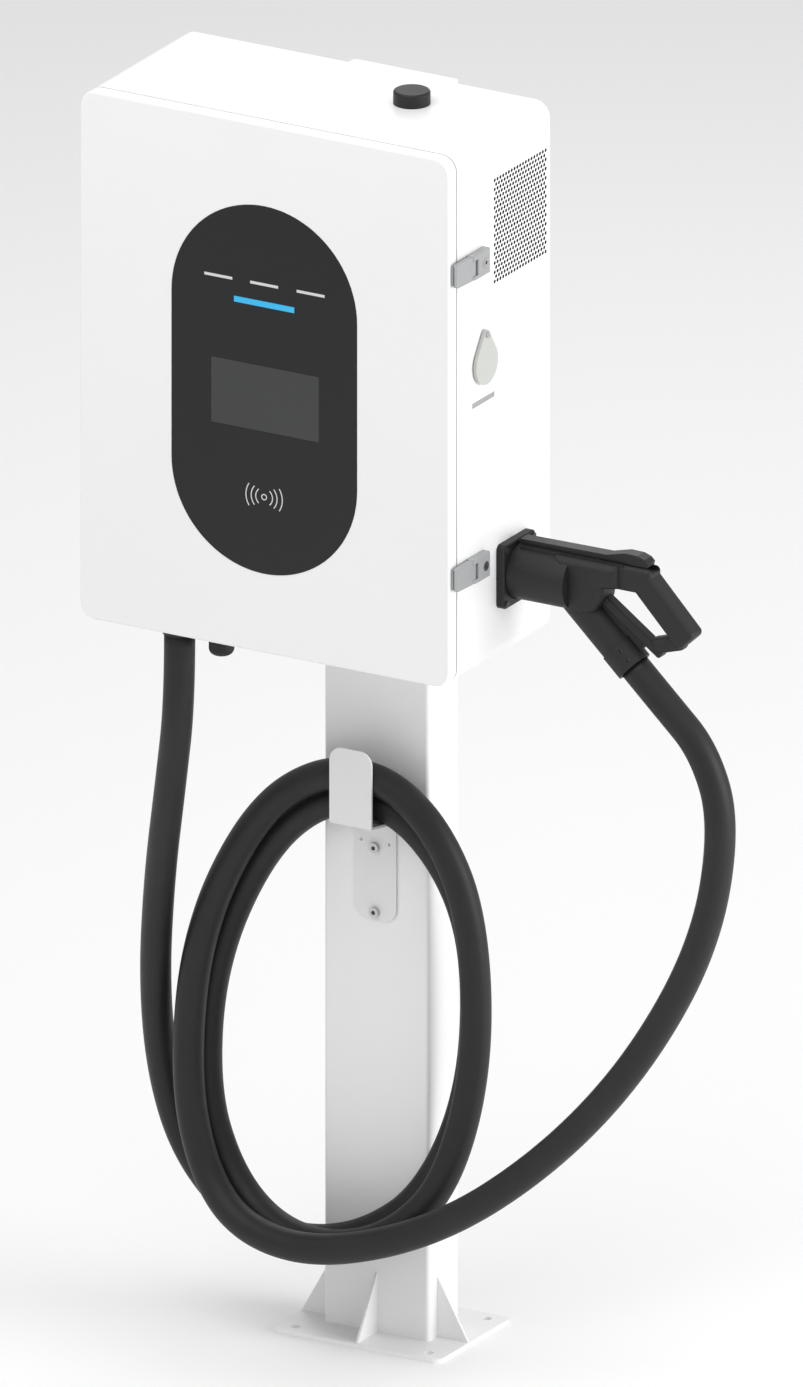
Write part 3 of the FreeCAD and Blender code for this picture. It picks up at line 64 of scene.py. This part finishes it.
lens = bpy.data.cameras.new("camera")
lens.type = "ORTHO"
lens.ortho_scale = FRAME_HEIGHT
lens.clip_end = VIEW_DEPTH
camera = bpy.data.objects.new("camera", lens)
camera.location = AIM + CAMERA_DISTANCE * AWAY
camera.rotation_euler = (pi / 2 - ELEVATION, 0, AZIMUTH)
bpy.context.collection.objects.link(camera)
bpy.context.scene.camera = camera


def shine(name, azimuth, elevation, distance, size, power):
    """A square soft light that looks at the post from an azimuth and elevation in degrees."""
    a, e = radians(azimuth), radians(elevation)
    light = bpy.data.lights.new(name, "AREA")
    light.size = size
    light.energy = power
    lamp = bpy.data.objects.new(name, light)
    lamp.location = AIM + distance * np.array([sin(a) * cos(e), -cos(a) * cos(e), sin(e)])
    lamp.rotation_euler = (pi / 2 - e, 0, a)
    bpy.context.collection.objects.link(lamp)


shine("overhead_light", 20, 68, 4.0, 2.8, 46)
shine("side_light", 98, 10, 4.0, 2.4, 90)
shine("front_light", -18, 44, 4.5, 2.6, 36)
shine("back_light", 200, 35, 4.5, 3.0, 30)

sky = bpy.data.worlds.new("studio")
sky.use_nodes = True
sky.node_tree.nodes["Background"].inputs["Color"].default_value = (1, 1, 1, 1)
sky.node_tree.nodes["Background"].inputs["Strength"].default_value = SKY_STRENGTH
bpy.context.scene.world = sky
bpy.context.scene.view_settings.view_transform = "Standard"


# ---- Studio floor ---------------------------------------------------------------------------------
# The post stands on a wide matt sheet, which is no part of it. Its pale grey drifts very slightly.
FLOOR_HALF = 9


class Wire:
    """One output of a material's nodes. Arithmetic on it adds Math nodes, so 1 - mask is a Wire too."""

    def __init__(self, tree, socket):
        self.tree = tree
        self.socket = socket

    def node(self, kind, settings=(), inputs=(), output=0):
        """A new node: its settings first, then its sockets by name or number, as values or Wires."""
        made = self.tree.nodes.new(kind)
        for key, value in dict(settings).items():
            setattr(made, key, value)
        for key, value in dict(inputs).items():
            if isinstance(value, Wire):
                self.tree.links.new(value.socket, made.inputs[key])
            else:
                made.inputs[key].default_value = value
        return Wire(self.tree, made.outputs[output])

    def math(self, operation, a, b=0.0):
        """One Math node on one or two values. A comparison gives 1 where it holds and 0 elsewhere."""
        return self.node("ShaderNodeMath", {"operation": operation}, {0: a, 1: b})

    def __add__(self, other):
        return self.math("ADD", self, other)

    def __radd__(self, other):
        return self.math("ADD", other, self)

    def __sub__(self, other):
        return self.math("SUBTRACT", self, other)

    def __rsub__(self, other):
        return self.math("SUBTRACT", other, self)

    def __mul__(self, other):
        return self.math("MULTIPLY", self, other)

    def __rmul__(self, other):
        return self.math("MULTIPLY", other, self)

    def __abs__(self):
        return self.math("ABSOLUTE", self)

    def __gt__(self, limit):
        return self.math("GREATER_THAN", self, limit)

    def clamp(self):
        """The same value, kept from 0 to 1."""
        return self.node("ShaderNodeClamp", (), {"Value": self})

    def fraction(self):
        """What this value has past its whole part, a saw from 0 to 1."""
        return self.math("FRACT", self)

    def axis(self, number):
        """One coordinate of this place: 0, 1 or 2 for X, Y or Z."""
        return self.node("ShaderNodeSeparateXYZ", (), {0: self}, number)

    def noise(self, scale, detail=2.0, rough=0.5):
        """Noise of the given cells per metre, on this Wire as its coordinates."""
        sockets = {"Vector": self, "Scale": scale, "Detail": detail, "Roughness": rough}
        return self.node("ShaderNodeTexNoise", (), sockets)

    def mix(self, low, high):
        """A colour that goes from low to high as this Wire goes from 0 to 1."""
        low = low if isinstance(low, Wire) else (*low, 1)
        high = high if isinstance(high, Wire) else (*high, 1)
        return self.node("ShaderNodeMix", {"data_type": "RGBA"}, {0: self, 6: low, 7: high}, 2)

    def bump(self, height, depth, strength=1.0):
        """A normal with the relief of a height from 0 to 1, depth metres high."""
        return self.node("ShaderNodeBump", (), {"Strength": strength, "Distance": depth, "Height": height})


def finish(name, **fixed):
    """A material with one Principled shader. Returns it, its Object coordinates and its shader."""
    material = bpy.data.materials.new(name)
    material.use_nodes = True
    tree = material.node_tree
    shader = tree.nodes["Principled BSDF"]
    for key, value in fixed.items():
        shader.inputs[key.replace("_", " ")].default_value = value
    place = Wire(tree, tree.nodes.new("ShaderNodeTexCoord").outputs["Object"])
    return material, place, shader


def connect(shader, **wires):
    """Links Wires to the shader's sockets, named with underscores for spaces."""
    for key, wire in wires.items():
        wire.tree.links.new(wire.socket, shader.inputs[key.replace("_", " ")])


floor_paint, place, shader = finish("studio_floor", Roughness=0.9)
shade = place.noise(0.7).mix((0.93, 0.93, 0.93), (0.95, 0.95, 0.95))
connect(shader, Base_Color=shade)
mesh = bpy.data.meshes.new("studio_floor")
corners = [(FLOOR_HALF * x, FLOOR_HALF * y, 0) for x, y in ((-1, -1), (1, -1), (1, 1), (-1, 1))]
mesh.from_pydata(corners, [], [(0, 1, 2, 3)])
mesh.materials.append(floor_paint)
studio_floor = bpy.data.objects.new("studio_floor", mesh)
bpy.context.collection.objects.link(studio_floor)


# ---- Charging cable -------------------------------------------------------------------------------
# One rubber-sheathed cable, 39 mm thick and about 5.4 m long. It hangs from the gland under the
# cabinet, makes two loops over the hook and rises into the clamp collar of the gun.
CABLE_R = 0.0195
CABLE_SIDES = 28
STEPS_PER_POINT = 14
ROUTE = [
    (-0.173, -0.225, 0.955), (-0.173, -0.225, 0.862), (-0.205, -0.192, 0.740), (-0.253, -0.137, 0.590),
    (-0.291, -0.084, 0.425), (-0.303, -0.040, 0.285), (-0.278, -0.022, 0.185), (-0.200, -0.038, 0.126),
    (-0.095, -0.060, 0.113), (0.002, -0.059, 0.140), (0.088, -0.058, 0.212), (0.136, -0.036, 0.345),
    (0.144, -0.035, 0.515), (0.119, -0.050, 0.631), (0.045, -0.062, 0.714), (-0.054, -0.060, 0.711),
    (-0.150, -0.054, 0.627), (-0.228, -0.049, 0.460), (-0.236, -0.057, 0.290), (-0.190, -0.072, 0.190),
    (-0.115, -0.093, 0.139), (-0.026, -0.104, 0.131), (0.062, -0.102, 0.163), (0.132, -0.090, 0.241),
    (0.167, -0.074, 0.402), (0.162, -0.079, 0.596), (0.111, -0.082, 0.705), (0.030, -0.0786, 0.757),
    (-0.062, -0.079, 0.747), (-0.146, -0.088, 0.676), (-0.223, -0.093, 0.514), (-0.240, -0.097, 0.325),
    (-0.206, -0.111, 0.204), (-0.134, -0.134, 0.144), (-0.015, -0.144, 0.137), (0.154, -0.143, 0.201),
    (0.312, -0.145, 0.325), (0.441, -0.149, 0.475), (0.538, -0.153, 0.651), (0.567, -0.156, 0.815),
    (0.538, -0.157, 0.906), (0.4833, -0.158, 0.958), (0.439, -0.158, 1.000),
]
rubber, place, shader = finish("cable_rubber", Specular_IOR_Level=0.3)
streak = place.noise(9, 3)
grain = place.noise(1400, 2)
connect(
    shader,
    Base_Color=streak.mix((0.012, 0.012, 0.013), (0.021, 0.021, 0.022)),
    Roughness=0.42 + 0.14 * place.noise(35, 2),
    Normal=place.bump(grain, 0.00012, 0.35),
)
line = bpy.data.curves.new("cable_route", "CURVE")
line.dimensions = "3D"
line.resolution_u = STEPS_PER_POINT
spline = line.splines.new("NURBS")
spline.points.add(len(ROUTE) - 1)
spline.points.foreach_set("co", np.hstack([np.array(ROUTE), np.ones((len(ROUTE), 1))]).ravel())
spline.order_u = 3
spline.use_endpoint_u = True
route = bpy.data.objects.new("cable_route", line)
bpy.context.collection.objects.link(route)
path = np.array([vertex.co for vertex in bpy.data.meshes.new_from_object(route).vertices])
bpy.data.objects.remove(route)


def surface(name, points, faces, material, body, slot, smooth=True):
    """A mesh from an array of points and a list of faces, riding on a body unless it is None."""
    mesh = bpy.data.meshes.new(name)
    mesh.from_pydata(np.asarray(points).reshape(-1, 3).tolist(), [], faces)
    mesh.polygons.foreach_set("use_smooth", np.full(len(mesh.polygons), smooth))
    mesh.materials.append(material)
    piece = bpy.data.objects.new(name, mesh)
    bpy.context.collection.objects.link(piece)
    if body:
        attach(piece, body)
    return piece


def grid(rows, columns):
    """Faces between rings of points, counted ring by ring: rows rings of columns points each. The last
    point of a ring joins its first."""
    r, c = np.meshgrid(np.arange(rows - 1), np.arange(columns), indexing="ij")
    c2 = (c + 1) % columns
    corners = (r * columns + c, r * columns + c2, (r + 1) * columns + c2, (r + 1) * columns + c)
    return np.stack(corners, -1).reshape(-1, 4)


def tube(path, radius, sides):
    """Points and faces of a closed round tube. At each point of the path lies a ring, square to the
    path, that is turned as little as possible from the ring before it, so the tube has no twist."""
    way = np.gradient(path, axis=0)
    way /= np.linalg.norm(way, axis=1, keepdims=True)
    turn = np.arange(sides) * 2 * pi / sides
    side = np.array([1.0, 0.0, 0.0])
    rings = []
    for centre, ahead in zip(path, way):
        side = side - ahead * (side @ ahead)
        side /= np.linalg.norm(side)
        up = np.cross(ahead, side)
        rings.append(centre + radius * (np.outer(np.cos(turn), side) + np.outer(np.sin(turn), up)))
    first = list(range(sides))
    last = [(len(path) - 1) * sides + corner for corner in first]
    return np.array(rings), grid(len(path), sides).tolist() + [first[::-1], last]


# The cable hangs from the post as one still mesh that rides on no body, in place of the CAD cable pieces.
cable = surface("charging_cable", *tube(path, CABLE_R, CABLE_SIDES), rubber, None, "cable_rubber")
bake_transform(cable)
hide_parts("cable_lead", "cable_loops", "cable_tail")


# ---- Painted steel: column, base, rails, cabinet, door and hook -----------------------------------
# Folded and welded sheet steel under a white powder coat, with the fine orange peel of the spray and
# a slightly glossier patch here and there. The hook is a strip of its own, in the white coat made greyer as
# painted shade.
def coat(material, *names):
    """Puts a material on CAD nodes."""
    for name in names:
        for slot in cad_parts[name].material_slots:
            slot.material = material


ROUGH_DRIFT = 0.1
PEEL = (640, 0.00012)
WHITE = ((0.85, 0.85, 0.855), (0.875, 0.875, 0.88), 0.4, *PEEL)


def drifting(place, low, high, rough, grain, depth):
    """Wires of a finish whose colour drifts from low to high and whose roughness drifts about a
    middle, with a fine relief of grain cells per metre, depth metres high."""
    return {
        "Base_Color": place.noise(4, 3).mix(low, high),
        "Roughness": (rough - ROUGH_DRIFT / 2) + ROUGH_DRIFT * place.noise(16, 3),
        "Normal": place.bump(place.noise(grain, 2), depth, 0.25),
    }


def textured(name, low, high, rough, grain, depth, **fixed):
    """A material of one drifting finish."""
    material, place, shader = finish(name, **fixed)
    connect(shader, **drifting(place, low, high, rough, grain, depth))
    return material


white_coat = textured("white_powder_coat", *WHITE)
coat(white_coat, "base_plate", "base_ribs", "column_tube", "column_cap", "mounting_rails")
coat(white_coat, "cabinet_shell", "door_panel")
# The hook's coat is the white coat made greyer, as painted shade on the hook.
hook_painted_shade_coat = textured("white_powder_coat_painted_shade", (0.76, 0.76, 0.765), (0.79, 0.79, 0.795), 0.42, *PEEL)
coat(hook_painted_shade_coat, "cable_hook")


# ---- Vents ----------------------------------------------------------------------------------------
# The vent panels have the cabinet's coat on their faces. Inside the holes, deeper than a tenth of a
# millimetre below the face, the colour is painted shade, as dark as the filter mats behind them.
side_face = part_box("cabinet_shell")[1][0]
HOLE_SHADE_DEPTH = 0.0001
PAINTED_HOLE_SHADE = (0.02, 0.02, 0.02)
punched, place, shader = finish("vent_coat_painted_hole_shade")
on_face = abs(place.axis(0)) > side_face - HOLE_SHADE_DEPTH
vent_coat = drifting(place, *WHITE)
# Below the face the colour is painted shade for the walls of the holes.
vent_coat["Base_Color"] = on_face.mix(PAINTED_HOLE_SHADE, vent_coat["Base_Color"])
connect(shader, **vent_coat)
coat(punched, "vent_panels")


# ---- Fascia: tinted window, display, light bar and printed marks ----------------------------------
# A tinted glossy sheet with round ends faces the door. The display shows dark grey behind its own
# window, the light bar glows blue above it, and the marks are thin white print on the front.
tinted = textured(
    "tinted_fascia", (0.009, 0.009, 0.010), (0.012, 0.012, 0.014), 0.2, 900, 0.00002, Specular_IOR_Level=0.35
)
coat(tinted, "fascia_panel")
ROWS_PER_METRE = 1600
screen, place, shader = finish("display_glass", Coat_Weight=0.5)
rows = (place.axis(2) * ROWS_PER_METRE).fraction()
haze = (0.25 * rows + 0.6 * place.noise(8, 2)).clamp()
connect(
    shader,
    Base_Color=haze.mix((0.014, 0.015, 0.016), (0.021, 0.022, 0.023)),
    Roughness=0.16 + 0.05 * place.noise(40),
)
coat(screen, "display_module")

lit, place, shader = finish("lit_diffuser", Roughness=0.45, Emission_Strength=0.22)
glow = place.noise(20, 1).mix((0.02, 0.36, 0.66), (0.035, 0.42, 0.72))
connect(shader, Base_Color=glow, Emission_Color=glow)
coat(lit, "led_light_bar")

print_white = textured("white_print", (0.62, 0.62, 0.62), (0.68, 0.68, 0.68), 0.5, 1500, 0.00001)
print_grey = textured("grey_print", (0.30, 0.30, 0.31), (0.36, 0.36, 0.37), 0.5, 1500, 0.00001)
fascia_low, fascia_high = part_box("fascia_panel")
FASCIA_FRONT = fascia_low[1]
PRINT_T = 0.00015


def sweep_mark(name, parts, material, body, slot, plane, facing="front"):
    """Printed strips on a plane that faces front or side. Each part is a run of middle points and a
    width: the strip's edges lie half a width to each side of the run, square to it, and its two faces
    lie a print's thickness apart."""
    points, faces = [], []
    for run, width in parts:
        run = np.asarray(run, float)
        way = np.gradient(run, axis=0)
        way /= np.linalg.norm(way, axis=1, keepdims=True)
        side = np.stack([-way[:, 1], way[:, 0]], -1) * width / 2
        inner, outer = run - side, run + side
        ring = [(inner, 0), (outer, 0), (outer, PRINT_T), (inner, PRINT_T)]
        rows = []
        for flat, out in ring:
            if facing == "front":
                rows.append(np.stack([flat[:, 0], np.full(len(run), plane - out), flat[:, 1]], -1))
            else:
                rows.append(np.stack([np.full(len(run), plane + out), flat[:, 0], flat[:, 1]], -1))
        first = sum(len(p) for p in points)
        block = np.stack(rows, 1).reshape(-1, 3)
        sides = grid(len(run), 4)
        last = 4 * (len(run) - 1)
        ends = [[0, 1, 2, 3], [last + 3, last + 2, last + 1, last]]
        block_faces = [face[::-1] for face in sides.tolist()] + ends
        points.append(block)
        faces += [[first + corner for corner in face] for face in block_faces]
    return surface(name, np.vstack(points), faces, material, body, slot, smooth=False)


def bar_run(x, z, length):
    """A short straight run through a place, along the first axis."""
    return [(x - length / 2, z), (x, z), (x + length / 2, z)]


def arc_run(x, z, r, start, end, count=14):
    """A circular run about a place, from one angle to another in degrees."""
    turn = np.radians(np.linspace(start, end, count))
    return np.stack([x + r * np.cos(turn), z + r * np.sin(turn)], -1)


FASCIA_X = (fascia_low[0] + fascia_high[0]) / 2
FASCIA_MID = (fascia_low[2] + fascia_high[2]) / 2
STATUS_Z = FASCIA_MID + 0.139
STATUS_LENGTH = 0.040
STATUS_W = 0.0036
status = []
for shift in (-0.0655, 0.0, 0.0665):
    status.append((bar_run(FASCIA_X + shift, STATUS_Z, STATUS_LENGTH), STATUS_W))
sweep_mark("status_marks", status, print_white, "door", "dark_gloss", plane=FASCIA_FRONT)

READER_Z = FASCIA_MID - 0.141
WAVE_W = 0.0014
RING_R = 0.0035
waves = []
for reach, half_angle in ((0.012, 50), (0.0185, 42), (0.026, 34)):
    waves.append((arc_run(FASCIA_X, READER_Z, reach, -half_angle, half_angle), WAVE_W))
    waves.append((arc_run(FASCIA_X, READER_Z, reach, 180 - half_angle, 180 + half_angle), WAVE_W))
waves.append((arc_run(FASCIA_X, READER_Z, RING_R, 0, 360, count=25), WAVE_W))
sweep_mark("card_reader_mark", waves, print_white, "door", "dark_gloss", plane=FASCIA_FRONT)

LABEL_Y = -0.230
LABEL_Z = 1.342
LABEL_LENGTH = 0.055
LABEL_W = 0.007
label = [(bar_run(LABEL_Y, LABEL_Z, LABEL_LENGTH), LABEL_W)]
sweep_mark("side_label", label, print_grey, "post", "black_plastic", plane=side_face, facing="side")


# ---- Black plastics: gun, holder, glands, antenna and fan -----------------------------------------
# Glass-filled nylon with a fine spark-eroded texture, duller on the gun's body than on its lever.
# The holder, glands, antenna cap, fan and black parts behind the door share a plainer moulded black.
gun_plastic = textured(
    "gun_plastic", (0.014, 0.014, 0.015), (0.021, 0.021, 0.022), 0.52, 1100, 0.00016, Specular_IOR_Level=0.32
)
coat(gun_plastic, "gun_shell_left", "gun_shell_right", "gun_nose", "gun_collar")
lever_plastic = textured(
    "lever_plastic", (0.012, 0.012, 0.013), (0.017, 0.017, 0.018), 0.42, 1300, 0.0001, Specular_IOR_Level=0.32
)
coat(lever_plastic, "gun_lever")
moulded_black = textured(
    "moulded_black", (0.012, 0.012, 0.013), (0.018, 0.018, 0.019), 0.45, 900, 0.0001, Specular_IOR_Level=0.3
)
coat(moulded_black, "gun_holder", "fan_frame", "fan_rotor", "antenna_cap", "output_gland", "supply_gland")
coat(moulded_black, "hmi_carrier", "estop_housing", "breaker_toggle", "dc_contactors")


# ---- Stop button, its cover and the latches -------------------------------------------------------
# A translucent white flap hangs over the red mushroom button. The latches are zinc castings with a
# satin grey lacquer.
cover_white = textured(
    "cover_white", (0.47, 0.475, 0.45), (0.51, 0.515, 0.49), 0.4, 500, 0.00008, Subsurface_Weight=0.05
)
coat(cover_white, "estop_cover")
button_red = textured(
    "button_red", (0.52, 0.012, 0.010), (0.62, 0.020, 0.014), 0.3, 700, 0.00004, Coat_Weight=0.4
)
coat(button_red, "estop_button")
lacquer = textured("latch_lacquer", (0.31, 0.315, 0.32), (0.36, 0.365, 0.37), 0.38, 800, 0.00008)
coat(lacquer, "latch_bases", "latch_lever_lower", "latch_lever_upper", "latch_catches")


# ---- Bare metals ----------------------------------------------------------------------------------
# Zinc-plated steel has soft spangles and a dull sheen. Stainless screws, pins and locks are turned
# and alloy housings brushed, so their relief is squeezed into fine lines, and the earth bar is drawn
# copper. The screws of the gun and its holder are blackened.
METAL_DRIFT = 0.16


def metal(name, low, high, rough, squeeze=(1, 1, 1), cells=260):
    """A metal whose tint, roughness and relief follow one noise, squeezed along an axis."""
    material, place, shader = finish(name, Metallic=1.0)
    squeezed = place.node("ShaderNodeMapping", (), {"Vector": place, "Scale": squeeze})
    cloud = squeezed.noise(cells, 3, 0.6)
    connect(
        shader,
        Base_Color=cloud.mix(low, high),
        Roughness=(rough - METAL_DRIFT / 2) + METAL_DRIFT * cloud,
        Normal=place.bump(cloud, 0.00005, 0.3),
    )
    return material


zinc = metal("zinc_plate", (0.50, 0.51, 0.52), (0.66, 0.67, 0.68), 0.42)
coat(zinc, "rail_bolts", "hinge_fixed_leaves", "hinge_door_leaves", "mounting_plate", "din_rail")
steel = metal("turned_stainless", (0.44, 0.44, 0.45), (0.62, 0.62, 0.63), 0.32, (1, 1, 9), 700)
coat(steel, "hinge_pins", "latch_locks", "latch_pins", "estop_stem", "cover_screw")
coat(steel, "gun_lever_pin", "hook_screws")
black_steel = textured("blackened_steel", (0.016, 0.016, 0.017), (0.030, 0.030, 0.031), 0.38, 900, 0.00005)
coat(black_steel, "holder_screws", "gun_screws")
alloy = metal("anodised_alloy", (0.58, 0.59, 0.60), (0.70, 0.71, 0.72), 0.4, (14, 1, 1), 300)
coat(alloy, "power_module", "aux_power_supply")
bare_copper = metal("bar_copper", (0.62, 0.36, 0.20), (0.78, 0.50, 0.30), 0.35, (1, 1, 6), 200)
coat(bare_copper, "earth_bar")


# ---- Hook screw sockets ---------------------------------------------------------------------------
# The two screws of the hook have hexagon sockets, each drawn as a thin dark hexagon on the screw's head
# as painted shade in the hollow of the socket.
SOCKET_R = 0.0016
SOCKET_W = 0.0028
HEAD_R = 0.0065
screws_low, screws_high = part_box("hook_screws")
sockets = []
for z in (screws_low[2] + HEAD_R, screws_high[2] - HEAD_R):
    sockets.append((arc_run(0, z, SOCKET_R, 0, 360, count=7), SOCKET_W))
# The dark hexagons are painted shade for the hollow sockets.
sweep_mark("hook_screw_socket_shades", sockets, black_steel, "post", "stainless", plane=screws_low[1])


# ---- Seal, filters and the devices inside ---------------------------------------------------------
# Cellular rubber round the door, open foam behind the vents, grey moulded devices and green boards
# with a faint copper pattern under the lacquer.
foam = textured("filter_foam", (0.012, 0.012, 0.012), (0.035, 0.035, 0.035), 0.85, 700, 0.0006)
coat(foam, "vent_filters")
seal = textured("seal_foam", (0.020, 0.020, 0.020), (0.034, 0.034, 0.034), 0.75, 1200, 0.0002)
coat(seal, "door_seal")
device = textured("device_grey", (0.42, 0.43, 0.44), (0.47, 0.48, 0.49), 0.45, 800, 0.0001)
coat(device, "breaker_body", "energy_meter", "terminal_block")
TRACKS_PER_METRE = 180
TRACK_SPACE = 0.72
board, place, shader = finish("lacquered_board", Coat_Weight=0.4)
tracks = (place.axis(0) * TRACKS_PER_METRE).fraction() > TRACK_SPACE
connect(
    shader,
    Base_Color=(tracks * place.noise(60, 2)).clamp().mix((0.012, 0.10, 0.045), (0.05, 0.22, 0.09)),
    Roughness=0.3 + 0.15 * place.noise(90),
)
coat(board, "card_reader_board", "control_board")
